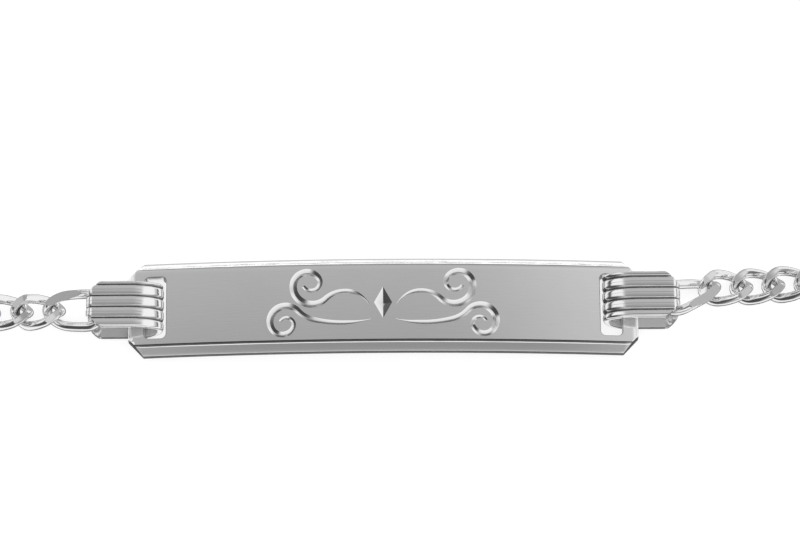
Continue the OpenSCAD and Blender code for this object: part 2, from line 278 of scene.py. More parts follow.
@dataclass(frozen=True)
class Silver:
    """A silver finish: how bright and how finely polished it is, and the dark grey of its painted shade.
    """

    name: str
    colour: tuple[float, float, float] = (0.93, 0.93, 0.935)
    # The dark grey that the painted shade darkens the colour toward
    painted_shade_colour: tuple[float, float, float] = (0.05, 0.049, 0.048)
    roughness: float = 0.075
    smudge: float = 0.03
    hairline: float = 0.02
    hairline_depth: float = 0.00001
    hairline_grain: tuple[float, float, float] = (500.0, 16000.0, 4000.0)
    cloud_grain: float = 260.0
    pit_grain: float = 2600.0
    worn_share: float = 0.955
    # How strongly the painted shade darkens the colour
    painted_shade_share: float = 1.0
    recess_roughness: float = 0.2
    satin_roughness: float = 0.6

    def make(self) -> bpy.types.Material:
        """Builds the finish.

        Returns:
            The material.
        """
        material = bpy.data.materials.new(self.name)
        material.use_nodes = True
        graph = Graph(material.node_tree)
        place = graph.out("ShaderNodeTexCoord", output="Object")
        lines = graph.out("ShaderNodeTexNoise", {}, {
            "Vector": graph.out("ShaderNodeMapping", {}, {"Vector": place, "Scale": self.hairline_grain}),
            "Scale": 1.0, "Detail": 4.0, "Roughness": 0.6})
        clouds = graph.out("ShaderNodeTexNoise", {}, {
            "Vector": place, "Scale": self.cloud_grain, "Detail": 3.0, "Roughness": 0.55})
        pits = graph.out("ShaderNodeTexNoise", {}, {
            "Vector": place, "Scale": self.pit_grain, "Detail": 2.0, "Roughness": 0.5})
        # Painted shade: the mesh's mark, varied a little at random, darkens the colour toward a dark grey
        # and makes it a little rougher
        painted_shade = graph.out("ShaderNodeAttribute", {"attribute_name": PAINTED_SHADE}, output="Fac")
        patches = pits.step(0.25, 0.6) * 0.1 + 0.9
        painted_shade_amount = (painted_shade * self.painted_shade_share).math("MULTIPLY", patches, clamp=True)
        rough = clouds.step(0.35, 0.7) * self.smudge + lines.step(0.45, 0.75) * self.hairline
        satin = graph.out("ShaderNodeAttribute", {"attribute_name": SATIN}, output="Fac")
        rough = rough + self.roughness + painted_shade_amount * self.recess_roughness
        rough = rough.math("MAXIMUM", satin * self.satin_roughness)
        worn = graph.out("ShaderNodeMix", {"data_type": "RGBA"}, {
            0: clouds.step(0.3, 0.75) * 0.5, 6: (*self.colour, 1.0),
            7: (*(self.worn_share * c for c in self.colour), 1.0)})
        # The worn silver, darkened where shade is painted
        colour = graph.out("ShaderNodeMix", {"data_type": "RGBA"}, {
            0: painted_shade_amount, 6: worn, 7: (*self.painted_shade_colour, 1.0)})
        bump = graph.out("ShaderNodeBump", {}, {
            "Strength": 0.25, "Distance": self.hairline_depth, "Height": lines})
        shader = graph.out("ShaderNodeBsdfPrincipled", {}, {
            "Base Color": colour, "Roughness": rough, "Metallic": 1.0, "Normal": bump})
        graph.add("ShaderNodeOutputMaterial", {}, {"Surface": shader})
        return material


@dataclass(frozen=True)
class PaleFloor:
    """A plain, pale, matt surface that glows a little."""

    name: str = "pale_surface"
    shade: float = 0.25
    speckle_share: float = 0.985
    glow: float = 0.8

    def make(self) -> bpy.types.Material:
        """Builds the finish.

        Returns:
            The material.
        """
        material = bpy.data.materials.new(self.name)
        material.use_nodes = True
        graph = Graph(material.node_tree)
        place = graph.out("ShaderNodeTexCoord", output="Object")
        grain = graph.out("ShaderNodeTexNoise", {}, {"Vector": place, "Scale": 900.0, "Detail": 3.0})
        light, dark = self.shade, self.shade * self.speckle_share
        colour = graph.out("ShaderNodeMix", {"data_type": "RGBA"}, {
            0: grain.step(0.3, 0.7), 6: (light, light, light, 1.0), 7: (dark, dark, dark, 1.0)})
        shader = graph.out("ShaderNodeBsdfPrincipled", {}, {
            "Base Color": colour, "Roughness": 0.9, "Specular IOR Level": 0.1,
            "Emission Color": (1.0, 1.0, 1.0, 1.0), "Emission Strength": self.glow})
        graph.add("ShaderNodeOutputMaterial", {}, {"Surface": shader})
        return material


PLATE_SILVER = Silver("plate_silver", painted_shade_share=1.04)
BAIL_SILVER = Silver("bail_silver", roughness=0.1, smudge=0.04, painted_shade_share=0.83)
CHAIN_SILVER = Silver("chain_silver", roughness=0.13, hairline_depth=0.0000017, painted_shade_share=0.66,
                      hairline_grain=(3000.0, 3000.0, 3000.0))
CLASP_SILVER = Silver("clasp_silver", roughness=0.09, hairline_grain=(2500.0, 2500.0, 2500.0))


# Mesh tools


class Skin:
    """A closed skin that is drawn out ring by ring, as wire is drawn through a die."""

    def __init__(self, bm: BMesh) -> None:
        """Starts a skin that has no ring yet.

        Args:
            bm: The mesh that the skin is drawn in.
        """
        self.bm = bm
        self.first: list[BMVert] = []
        self.last: list[BMVert] = []
        self.edges: list[BMEdge] = []

    @staticmethod
    def pairs(verts: Sequence[BMVert]) -> list[tuple[BMVert, BMVert]]:
        """Neighbouring points round a ring."""
        return list(zip(verts, [*verts[1:], verts[0]]))

    def draw(self, ring: Sequence[Vector]) -> None:
        """Lays down the first ring, or draws the skin out to the next one.

        Args:
            ring: The ring's points, in the first ring's order.
        """
        if not self.first:
            self.first = self.last = [self.bm.verts.new(point) for point in ring]
            self.edges = [self.bm.edges.new(pair) for pair in self.pairs(self.first)]
            return
        made = bmesh.ops.extrude_edge_only(self.bm, edges=self.edges)["geom"]
        fresh = {item for item in made if isinstance(item, BMVert)}
        moved = []
        for old, point in zip(self.last, ring):
            vert = next(e.other_vert(old) for e in old.link_edges if e.other_vert(old) in fresh)
            vert.co = point
            moved.append(vert)
        self.last = moved
        self.edges = [self.bm.edges.get(pair) for pair in self.pairs(moved)]

    def cap(self) -> None:
        """Closes both ends with a face."""
        self.bm.faces.new(self.first)
        self.bm.faces.new(self.last)
        bmesh.ops.recalc_face_normals(self.bm, faces=self.bm.faces)

    def join_ends(self) -> None:
        """Welds the last ring to the first."""
        bmesh.ops.remove_doubles(self.bm, verts=[*self.first, *self.last], dist=WELD)
        bmesh.ops.recalc_face_normals(self.bm, faces=self.bm.faces)


def shave(bm: BMesh, point: Vector, outward: Vector) -> None:
    """Cuts off what lies beyond a plane and closes the cut.

    Args:
        bm: The mesh.
        point: A point on the plane.
        outward: The direction of what is cut off.
    """
    geom = [*bm.verts, *bm.edges, *bm.faces]
    cut = bmesh.ops.bisect_plane(bm, geom=geom, plane_co=point, plane_no=outward, clear_outer=True)
    edges = [item for item in cut["geom_cut"] if isinstance(item, BMEdge)]
    bmesh.ops.holes_fill(bm, edges=edges, sides=0)


def score(bm: BMesh, axis: Vector, places: Iterable[float]) -> None:
    """Adds edges where planes across an axis meet the mesh.

    Args:
        bm: The mesh.
        axis: The axis that the planes lie across.
        places: Where they lie along it.
    """
    for place in places:
        geom = [*bm.verts, *bm.edges, *bm.faces]
        bmesh.ops.bisect_plane(bm, geom=geom, plane_co=axis * place, plane_no=axis, dist=ON_PLANE)


def sharp_edges(bm: BMesh, angle_deg: float) -> list[BMEdge]:
    """The edges at which the skin turns by more than an angle."""
    least = math.radians(angle_deg)
    return [e for e in bm.edges if len(e.link_faces) == 2 and e.calc_face_angle() > least]


def soften(bm: BMesh, edges: Sequence[BMEdge], width: float, segments: int) -> None:
    """Rounds some edges.

    Args:
        bm: The mesh.
        edges: The edges to round.
        width: How far the rounding reaches from each edge.
        segments: How many faces it has.
    """
    bmesh.ops.bevel(bm, geom=list(edges), offset=width, offset_type="OFFSET", segments=segments,
                    profile=0.5, affect="EDGES", material=-1, clamp_overlap=True)


def set_object(bm: BMesh, name: str) -> bpy.types.Object:
    """Puts a mesh into the scene as it is, in millimetres, and frees it.

    Args:
        bm: The mesh.
        name: The object's name.

    Returns:
        The object.
    """
    mesh = bpy.data.meshes.new(name)
    bm.to_mesh(mesh)
    bm.free()
    made = bpy.data.objects.new(name, mesh)
    bpy.context.scene.collection.objects.link(made)
    return made


def carve(blank: BMesh, cutters: Sequence[BMesh]) -> BMesh:
    """Cuts the shapes of some cutters out of a blank, one after the other.

    Args:
        blank: The mesh that is cut. It is freed.
        cutters: Closed meshes, which are freed too.

    Returns:
        The cut mesh.
    """
    target = set_object(blank, "blank")
    tools = [set_object(cutter, "cutter") for cutter in cutters]
    for tool in tools:
        cut = target.modifiers.new("cut", "BOOLEAN")
        cut.operation = "DIFFERENCE"
        cut.solver = "EXACT"
        cut.object = tool
    bpy.context.view_layer.update()
    shaped = target.evaluated_get(bpy.context.evaluated_depsgraph_get())
    result = bmesh.new()
    result.from_mesh(shaped.to_mesh())
    shaped.to_mesh_clear()
    for used in (target, *tools):
        mesh = used.data
        bpy.data.objects.remove(used)
        bpy.data.meshes.remove(mesh)
    return result


def finish_piece(bm: BMesh, name: str, node: str, finish: Silver, sharp_deg: float = 24.0,
                 level_normals: bool = False) -> bpy.types.Object:
    """Turns a mesh in millimetres into a piece of the bracelet.

    Args:
        bm: The mesh, which is freed.
        name: The piece's name.
        node: The solid that it stands for.
        finish: Its finish, whose name is also its material slot's.
        sharp_deg: The angle over which an edge is shaded sharp.
        level_normals: Whether broad faces keep their own direction in the shading.

    Returns:
        The piece.
    """
    bmesh.ops.transform(bm, matrix=Matrix.Scale(MM, 4), verts=bm.verts)
    piece = set_object(bm, name)
    piece.data.shade_smooth()
    piece.data.set_sharp_from_angle(angle=math.radians(sharp_deg))
    piece.data.materials.append(finish.make())
    if level_normals:
        level = piece.modifiers.new("level", "WEIGHTED_NORMAL")
        level.keep_sharp = True
        level.weight = 100
    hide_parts(node)
    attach(piece, BODY)
    return piece


# The plate and its engraving


@dataclass(frozen=True)
class Arc:
    """One arc of an engraved stroke. Left turns are positive."""

    radius: float
    sweep_deg: float
    width: float


@dataclass(frozen=True)
class Pen:
    """Where an engraving tool stands, and which way it goes."""

    x: float
    y: float
    heading_deg: float

    def along(self, arc: Arc, share: float) -> "Pen":
        """The pen after a share of an arc.

        Args:
            arc: The arc that starts at this pen.
            share: The share of it, from 0 to 1.

        Returns:
            The pen there.
        """
        turn = math.copysign(1.0, arc.sweep_deg)
        heading = math.radians(self.heading_deg)
        centre_x = self.x - turn * arc.radius * math.sin(heading)
        centre_y = self.y + turn * arc.radius * math.cos(heading)
        now = math.radians(self.heading_deg + arc.sweep_deg * share)
        return Pen(centre_x + turn * arc.radius * math.sin(now),
                   centre_y - turn * arc.radius * math.cos(now), math.degrees(now))


@dataclass(frozen=True)
class Stroke:
    """An engraved stroke: a line of arcs, cut with a pointed tool and tapered at both ends."""

    start: Pen
    arcs: tuple[Arc, ...]
    tip_width: float = 0.05
    end_share: float = 0.8
    wall_deg: float = 28.5
    pace: float = 0.09
    lift: float = 0.25

    def stations(self) -> list[tuple[Pen, float]]:
        """Walks along the stroke.

        Returns:
            The pen and the stroke's width, pace by pace.
        """
        marks = [(0.0, self.tip_width)]
        legs, length, pen = [], 0.0, self.start
        for arc in self.arcs:
            reach = arc.radius * math.radians(abs(arc.sweep_deg))
            legs.append((length, reach, pen, arc))
            marks.append((length + reach / 2, arc.width))
            length += reach
            pen = pen.along(arc, 1.0)
        marks.append((length, self.arcs[-1].width * self.end_share))
        result = []
        for start, reach, pen, arc in legs:
            steps = math.ceil(reach / self.pace)
            shares = spread(0.0, 1.0, steps)[0 if not result else 1:]
            result += [(pen.along(arc, share), self.width_at(marks, start + reach * share))
                       for share in shares]
        return result

    @staticmethod
    def width_at(marks: Sequence[tuple[float, float]], place: float) -> float:
        """The stroke's width at a place along it.

        Args:
            marks: Places with the widths there, in order.
            place: The place.

        Returns:
            The width, eased from one mark to the next.
        """
        for (low, before), (high, after) in zip(marks, marks[1:]):
            if place <= high:
                return before + (after - before) * ease(place, low, high)
        return marks[-1][1]

    def section(self, width: float) -> list[tuple[float, float]]:
        """The tool's section: a point that is closed over the face.

        Args:
            width: The stroke's width at the face.

        Returns:
            Distances across the stroke and heights over the face.
        """
        slope = math.tan(math.radians(self.wall_deg))
        half = width / 2
        out = half + self.lift / slope
        return [(-out, self.lift), (-half, 0.0), (0.0, -half * slope), (half, 0.0), (out, self.lift)]

    def cutter(self, top: float, flip: bool) -> BMesh:
        """The solid that the stroke takes out of the plate.

        Args:
            top: The height of the plate's face.
            flip: Whether the stroke is mirrored to the plate's other side.

        Returns:
            The cutter.
        """
        side = -1.0 if flip else 1.0
        skin = Skin(bmesh.new())
        for pen, width in self.stations():
            left = direction(pen.heading_deg + 90)
            skin.draw([Vector((side * (pen.x + left.x * across), pen.y + left.y * across, top + rise))
                       for across, rise in self.section(width)])
        skin.cap()
        return skin.bm


@dataclass(frozen=True)
class Lozenge:
    """A four-sided cut, deepest in its middle."""

    half_l: float = 0.62
    half_w: float = 1.15
    depth: float = 0.3
    lift: float = 0.2

    def cutter(self, top: float) -> BMesh:
        """The solid that it takes out of the plate.

        Args:
            top: The height of the plate's face.

        Returns:
            A four-sided cone with its point down.
        """
        bm = bmesh.new()
        grow = 1 + self.lift / self.depth
        size = Matrix.Diagonal((self.half_l * grow, self.half_w * grow, 1.0, 1.0))
        place = Matrix.Translation((0.0, 0.0, top + (self.lift - self.depth) / 2))
        bmesh.ops.create_cone(bm, cap_ends=True, segments=4, radius1=0.0, radius2=1.0,
                              depth=self.depth + self.lift, matrix=place @ size)
        bmesh.ops.remove_doubles(bm, verts=bm.verts, dist=WELD)
        bmesh.ops.recalc_face_normals(bm, faces=bm.faces)
        return bm


SCROLL = Stroke(Pen(0.95, -0.1, 60.0), (
    Arc(1.9, -105.0, 0.3), Arc(1.3, 150.0, 0.52), Arc(0.95, 130.0, 0.5), Arc(0.6, 190.0, 0.3)))
VINE = Stroke(Pen(0.85, -1.2, -14.0), (
    Arc(8.0, 28.0, 0.3), Arc(2.2, 34.0, 0.38), Arc(1.1, -170.0, 0.52), Arc(0.8, -130.0, 0.4),
    Arc(0.5, -170.0, 0.25)))


@dataclass(frozen=True)
class Plate:
    """The identity plate: bent lengthwise, bevelled, slotted at both ends and engraved."""

    length: float = 35.0
    width: float = 6.68
    thick: float = 0.95
    sag: float = 1.0
    crown: float = 0.024
    bevel_w: float = 0.6
    bevel_d: float = 0.45
    near_bevel_w: float = 0.51
    near_bow: float = 0.005
    far_bow: float = 0.014
    bevel_cuts: int = 4
    dub_w: float = 0.18
    dub_deg: float = 12.5
    dub_round: float = 0.012
    dub_clear: float = 0.03
    # Painted shade on the dubbed edge, a dark line that stands in for a dark reflection
    dub_painted_shade: float = 0.95
    corner_l: float = 1.05
    corner_w: float = 1.15
    end_bevel: float = 0.2
    end_bar: float = 1.1
    slot_l: float = 1.5
    slot_w: float = 4.45
    slot_r: float = 0.35
    slot_rim: float = 0.045
    slot_lip: float = 0.003
    near_round: float = 0.04
    far_round: float = 0.13
    edge_round: float = 0.02
    bend_step: float = 0.5
    crown_step: float = 0.4
    cut_deepest: float = 0.4
    cut_margin: float = 0.2
    side_margin: float = 0.024
    # Painted shade in the engraving, deepening with the cut
    cut_painted_shade: float = 0.2
    cut_satin: float = 0.35
    # Painted shade on the slots' rims, a dark outline that stands in for shade
    rim_painted_shade: float = 0.6
    slot_satin: float = 0.2
    skim: float = 0.005
    strokes: tuple[Stroke, ...] = (SCROLL, VINE)
    lozenge: Lozenge = Lozenge()

    @property
    def face_half(self) -> float:
        """Half the width of the face between the bevels."""
        return self.width / 2 - self.bevel_w

    @property
    def near_half(self) -> float:
        """The distance from the plate's middle line to the near bevel."""
        return self.width / 2 - self.near_bevel_w

    @property
    def dub_drop(self) -> float:
        """How far the dubbed edge falls below the face."""
        return self.dub_w * math.tan(math.radians(self.dub_deg))

    def bevel_point(self, near: bool, t: float) -> Vector:
        """A point of a slightly bowed bevel.

        Args:
            near: Whether it is the bevel on the near side, which starts from the dubbed edge.
            t: How far it is from the face to the side, from 0 to 1.

        Returns:
            Its distance from the plate's middle line and its height over the face.
        """
        start = Vector((self.near_half, -self.dub_drop)) if near else Vector((self.face_half, 0.0))
        bow = self.near_bow if near else self.far_bow
        chord = Vector((self.width / 2, -self.bevel_d)) - start
        out = Vector((-chord.y, chord.x)).normalized()
        return start + chord * t + out * (4 * bow * t * (1 - t))

    def blank(self) -> BMesh:
        """Cuts the flat plate to its outline and bevels it.

        Returns:
            The flat plate, with its top at height 0.
        """
        bm = bmesh.new()
        bmesh.ops.create_cube(bm, size=1.0)
        bmesh.ops.scale(bm, vec=(self.length, self.width, self.thick), verts=bm.verts)
        bmesh.ops.translate(bm, vec=(0.0, 0.0, -self.thick / 2), verts=bm.verts)
        half_l, half_w = self.length / 2, self.width / 2
        for x in (-1, 1):
            for y in (-1, 1):
                corner = Vector((x * half_l, y * (half_w - self.corner_w), 0.0))
                shave(bm, corner, Vector((x * self.corner_w, y * self.corner_l, 0.0)).normalized())
        for y in (-1, 1):
            steps = [self.bevel_point(y < 0, t) for t in spread(0.0, 1.0, self.bevel_cuts)]
            for start, end in zip(steps, steps[1:]):
                fall = end - start
                outward = Vector((0.0, -y * fall.y, fall.x)).normalized()
                shave(bm, Vector((0.0, y * start.x, start.y)), outward)
        dub = direction(self.dub_deg)
        shave(bm, Vector((0.0, self.dub_w - self.near_half, 0.0)), Vector((0.0, -dub.y, dub.x)))
        for x in (-1, 1):
            edge = Vector((x * half_l, 0.0, -self.end_bevel))
            shave(bm, edge, Vector((x, 0.0, 1.0)).normalized())
        bm.normal_update()
        return bm

    def round_edges(self, bm: BMesh) -> None:
        """Rounds the long edges of the face, and then all the others.

        Args:
            bm: The flat plate.
        """
        rows = ((-self.near_half, -self.dub_drop, self.near_round, 6),
                (self.face_half, 0.0, self.far_round, 6),
                (self.dub_w - self.near_half, 0.0, self.dub_round, 2))
        for y, z, width, segments in rows:
            line = [e for e in bm.edges
                    if all(abs(v.co.z - z) < CLOSE and abs(v.co.y - y) < CLOSE for v in e.verts)]
            soften(bm, line, width, segments)
        soften(bm, sharp_edges(bm, 25.0), self.edge_round, 5)

    def slot_cutter(self, side: Side) -> BMesh:
        """The solid that one slot takes out, with its upper rim flared.

        Args:
            side: The end of the plate that the slot is at.

        Returns:
            The cutter.
        """
        x = side.value * (self.length / 2 - self.end_bar - self.slot_l / 2)
        turns = spread(0.0, 90.0, 5)
        levels = [(-self.thick - CUTTER_PAST, 0.0)]
        levels += [(-self.slot_lip - self.slot_rim * (1 - math.sin(math.radians(a))),
                    self.slot_rim * (1 - math.cos(math.radians(a)))) for a in turns]
        levels.append((CUTTER_PAST, self.slot_rim))
        skin = Skin(bmesh.new())
        for z, grow in levels:
            ring = []
            for corner, (sx, sy) in enumerate(((1, 1), (1, -1), (-1, -1), (-1, 1))):
                for a in spread(90.0 - 90.0 * corner, -90.0 * corner, 6):
                    middle = Vector((x + sx * (self.slot_l / 2 - self.slot_r),
                                     sy * (self.slot_w / 2 - self.slot_r)))
                    rim = middle + direction(a) * (self.slot_r + grow)
                    ring.append(Vector((rim.x, rim.y, z)))
            skin.draw(ring)
        skin.cap()
        return skin.bm

    def engrave(self, bm: BMesh) -> BMesh:
        """Cuts the slots and the engraving.

        Args:
            bm: The rounded flat plate, which is freed.

        Returns:
            The engraved flat plate.
        """
        score(bm, Vector((0.0, 1.0, 0.0)), [self.dub_w - self.near_half + self.dub_clear])
        cutters = [self.slot_cutter(side) for side in Side]
        cutters.append(self.lozenge.cutter(0.0))
        for stroke in self.strokes:
            for flip in (False, True):
                cutters.append(stroke.cutter(0.0, flip))
        return carve(bm, cutters)

    def bend(self, bm: BMesh, centre: Vector) -> None:
        """Bends the flat plate lengthwise and sets it in its place.

        Args:
            bm: The engraved flat plate.
            centre: The middle of its face.
        """
        reach = int(self.length / 2 / self.bend_step)
        score(bm, Vector((1.0, 0.0, 0.0)), [i * self.bend_step for i in range(-reach, reach + 1)])
        across = int((self.face_half - self.dub_w) / self.crown_step)
        score(bm, Vector((0.0, 1.0, 0.0)), [i * self.crown_step for i in range(-across, across + 1)])
        radius = ((self.length / 2) ** 2 + self.sag ** 2) / (2 * self.sag)
        for vert in bm.verts:
            vert.co.z += math.sqrt(radius ** 2 - vert.co.x ** 2) - radius
            vert.co.z -= self.crown * (vert.co.y / self.face_half) ** 2
        bmesh.ops.translate(bm, vec=centre, verts=bm.verts)

    def mark_shade_and_satin(self, bm: BMesh) -> None:
        """Marks where shade is painted on the plate, and where it is less polished than its face.

        These are the dubbed edge, the engraving, the slots, the sides and the cut corners; the shade
        painted there stands in for dark reflections and shadow.

        Args:
            bm: The engraved flat plate.
        """
        painted_shade = bm.verts.layers.float.new(PAINTED_SHADE)
        satin = bm.verts.layers.float.new(SATIN)
        slot_in = self.length / 2 - self.end_bar - self.slot_l - 2 * self.slot_rim
        slot_out = self.length / 2 - self.end_bar + 2 * self.slot_rim
        slot_side = self.slot_w / 2 + 2 * self.slot_rim
        slot_corner = (self.slot_w - self.slot_r) / 2
        corner = Vector((self.corner_w, self.corner_l)).normalized()
        corner_out = corner.dot(Vector((self.length / 2, self.width / 2 - self.corner_w)))
        dub_near = self.near_round - self.near_half
        dub_far = self.dub_w - self.near_half + self.dub_clear / 2
        cut_side = self.face_half - self.cut_margin
        side_out = self.width / 2 - self.side_margin
        for vert in bm.verts:
            x, y, z = abs(vert.co.x), abs(vert.co.y), vert.co.z
            # Painted shade: a dark line along the dubbed edge
            if dub_near < vert.co.y < dub_far and z > -self.bevel_d:
                vert[painted_shade] = self.dub_painted_shade
            # Painted shade in the engraving, darker where the cut is deeper, and a less polished finish
            # there
            if x < slot_in and y < cut_side and -self.cut_deepest < z < -self.skim:
                vert[painted_shade] = min(self.cut_painted_shade, -z / self.cut_deepest)
                vert[satin] = self.cut_satin
            # The slot walls are less polished, and painted shade draws a dark line on the rims
            if slot_in < x < slot_out and y < slot_side and z < -self.slot_lip / 2:
                on_rim = z > -self.slot_rim
                wall = 1.0 if y < slot_corner else self.slot_satin
                vert[satin] = 0.0 if on_rim else wall
                vert[painted_shade] = self.rim_painted_shade if on_rim else 0.0
            # Painted shade darkens the sides and the cut corners, standing in for a dark reflection
            on_side = y > side_out and z < -self.bevel_d - 2 * self.skim
            on_corner = corner.dot(Vector((x, y))) > corner_out - self.skim
            if on_side or on_corner:
                vert[painted_shade] = 1.0

    def build(self) -> bpy.types.Object:
        """Builds the finished plate.

        Returns:
            The piece.
        """
        low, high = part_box("plate")
        centre = Vector(((low.x + high.x) / 2, (low.y + high.y) / 2, high.z)) / MM
        bm = self.blank()
        self.round_edges(bm)
        bm = self.engrave(bm)
        self.mark_shade_and_satin(bm)
        self.bend(bm, centre)
        return finish_piece(bm, "identity_plate", "plate", PLATE_SILVER, sharp_deg=21.0,
                            level_normals=True)


# The bails


@dataclass(frozen=True)
class Bail:
    """A reeded strap folded into a loop round the plate's end bar."""

    side: Side
    length: float = 5.3
    width: float = 3.32
    height: float = 2.9
    strap: float = 0.45
    bend_l: float = 2.4
    bend_h: float = 1.1
    bend_flare: float = 0.8
    flare_in_deg: tuple[float, float] = (0.0, 60.0)
    reeds_end_deg: tuple[float, float] = (262.0, 232.0)
    reeds_start_deg: tuple[float, float] = (300.0, 350.0)
    fold_r: float = 0.5
    fold_w: float = 1.56
    neck_w: float = 0.82
    shoulder_l: float = 0.9
    shoulder_power: float = 1.25
    nose_l: float = 0.2
    reed_w: float = 0.8
    reed_shift: float = 0.0
    crest: float = 0.03
    groove: float = 0.1
    groove_w: float = 0.055
    score_d: float = 0.006
    score_w: float = 0.035
    # How much painted shade darkens the strap's edges where it is not reeded
    plain_shade: float = 0.9
    edge_r: float = 0.18
    inner_r: float = 0.08
    cuts: tuple[float, ...] = (0.0, 0.35, 0.7, 1.05, 1.4, 1.9, 2.6)

    def depth(self, y: float, flare: float) -> tuple[float, float]:
        """How deep the reeding is at a place across the strap.

        Args:
            y: The place, from the strap's middle.
            flare: How much wider than usual the grooves are.

        Returns:
            The whole depth, and the share of it that is groove.
        """
        from_crest = abs(((y - self.reed_shift) / self.reed_w + 0.5) % 1.0 - 0.5)
        groove = math.exp(-(((0.5 - from_crest) * self.reed_w) / (self.groove_w * (1 + flare))) ** 2)
        score_line = math.exp(-((from_crest * self.reed_w) / self.score_w) ** 2)
        round_off = self.crest * (2 * from_crest) ** 2
        return round_off + self.groove * groove + self.score_d * score_line, groove

    def section(self, relief: float, flare: float) -> list[tuple[float, float, float, float]]:
        """The strap's section, from its outer face inwards.

        Args:
            relief: The share of their depth that the grooves have here.
            flare: How much wider than usual they are here.

        Returns:
            Places across the strap, depths below its outer face, how much painted shade they have
            and how satin they are.
        """
        half = self.width / 2
        flat = half - self.edge_r
        places = {0.0, -flat, flat}
        for i in range(-4, 5):
            wide = self.groove_w if i % 2 else self.score_w
            middle = i * self.reed_w / 2 + self.reed_shift
            places |= {middle + sign * wide * cut for cut in self.cuts for sign in (-1, 1)}
            places |= {middle + share * self.reed_w / 2 for share in (0.35, 0.5, 0.65)}
        outer = []
        for y in sorted(y for y in places if abs(y) <= flat):
            depth, groove = self.depth(y, flare)
            # Painted shade darkens the reeds' grooves
            outer.append((y, depth * relief, groove * relief, 0.0))
        left, right = outer[0][1], outer[-1][1]
        # Painted shade darkens the edges and the inner turn where the strap is plain
        shade = self.plain_shade * (1 - relief)
        turns = [math.radians(a) for a in spread(0.0, 90.0, 7)]
        near = [(flat + self.edge_r * math.sin(a), right + self.edge_r * (1 - math.cos(a)), shade, 0.0)
                for a in turns[1:]]
        far = [(-flat - self.edge_r * math.sin(a), left + self.edge_r * (1 - math.cos(a)), shade, 0.0)
               for a in reversed(turns[1:])]
        inner = half - self.inner_r
        back = self.strap - self.inner_r
        turned = [(inner + self.inner_r * math.cos(a), back + self.inner_r * math.sin(a),
                   shade * math.cos(a), math.sin(a)) for a in turns[::3]]
        returned = [(-y, depth, painted_shade, satin) for y, depth, painted_shade, satin in reversed(turned)]
        return [*outer, *near, *turned, (0.0, self.strap, 0.0, 1.0), *returned, *far]

    @staticmethod
    def turn(x: float, z: float, radius: float,
             angles: Sequence[float]) -> list[tuple[float, float, float]]:
        """Follows a round turn of the strap, without its end.

        Args:
            x: The place of the turn's middle along the plate.
            z: Its height.
            radius: The turn's radius.
            angles: The outward directions at its stations, in degrees.

        Returns:
            Places along the plate, heights and outward directions.
        """
        return [(x + radius * math.cos(math.radians(a)), z + radius * math.sin(math.radians(a)), a)
                for a in angles[:-1]]

    def stations(self) -> list[tuple[float, float, float, float, float]]:
        """Follows the strap's outer face round the loop.

        It runs from the top down the long bend at the slot, back along the underside, up the
        wall and home along the top.

        Returns:
            Places along the plate, heights, outward directions, and the grooves' relief and flare.
        """
        low_r = self.height - self.bend_h
        fold_x = self.length - self.fold_r
        top_z = self.height - self.fold_r
        rows = []
        for a in spread(0.0, 90.0, 24)[:-1]:
            u = math.radians(a)
            facing = 90 + math.degrees(math.atan2(self.bend_h * math.sin(u), self.bend_l * math.cos(u)))
            rows.append((self.bend_l * (1 - math.sin(u)), low_r + self.bend_h * math.cos(u), facing, 1.0,
                         self.bend_flare * ease(a, *self.flare_in_deg)))
        rows += [(x, z, a, ease(a, *self.reeds_end_deg), self.bend_flare)
                 for x, z, a in self.turn(low_r, low_r, low_r, spread(180.0, 270.0, 18))]
        rows += [(x, 0.0, 270.0, 0.0, 0.0) for x in spread(low_r, fold_x, 6)[:-1]]
        rows += [(x, z, a, ease(a, *self.reeds_start_deg), 0.0)
                 for x, z, a in self.turn(fold_x, self.fold_r, self.fold_r, spread(270.0, 360.0, 12))]
        rows += [(self.length, z, 0.0, 1.0, 0.0) for z in spread(self.fold_r, top_z, 6)[:-1]]
        rows += [(x, z, a, 1.0, 0.0)
                 for x, z, a in self.turn(fold_x, top_z, self.fold_r, spread(0.0, 90.0, 12))]
        rows += [(x, self.height, 90.0, 1.0, 0.0) for x in spread(fold_x, self.bend_l, 6)[:-1]]
        return [*rows, rows[0]]

    def strap_loop(self) -> BMesh:
        """Draws the whole loop at its full width.

        Returns:
            The loop, standing as on the right of the plate.
        """
        bm = bmesh.new()
        painted_shade_layer = bm.verts.layers.float.new(PAINTED_SHADE)
        satin_layer = bm.verts.layers.float.new(SATIN)
        skin = Skin(bm)
        for x, z, facing, relief, flare in self.stations():
            out = Vector((math.cos(math.radians(facing)), 0.0, math.sin(math.radians(facing))))
            section = self.section(relief, flare)
            skin.draw([Vector((x, y, z)) - out * depth for y, depth, _, _ in section])
            for vert, (_, _, painted_shade, satin) in zip(skin.last, section):
                vert[painted_shade_layer], vert[satin_layer] = painted_shade, satin
        skin.join_ends()
        return bm

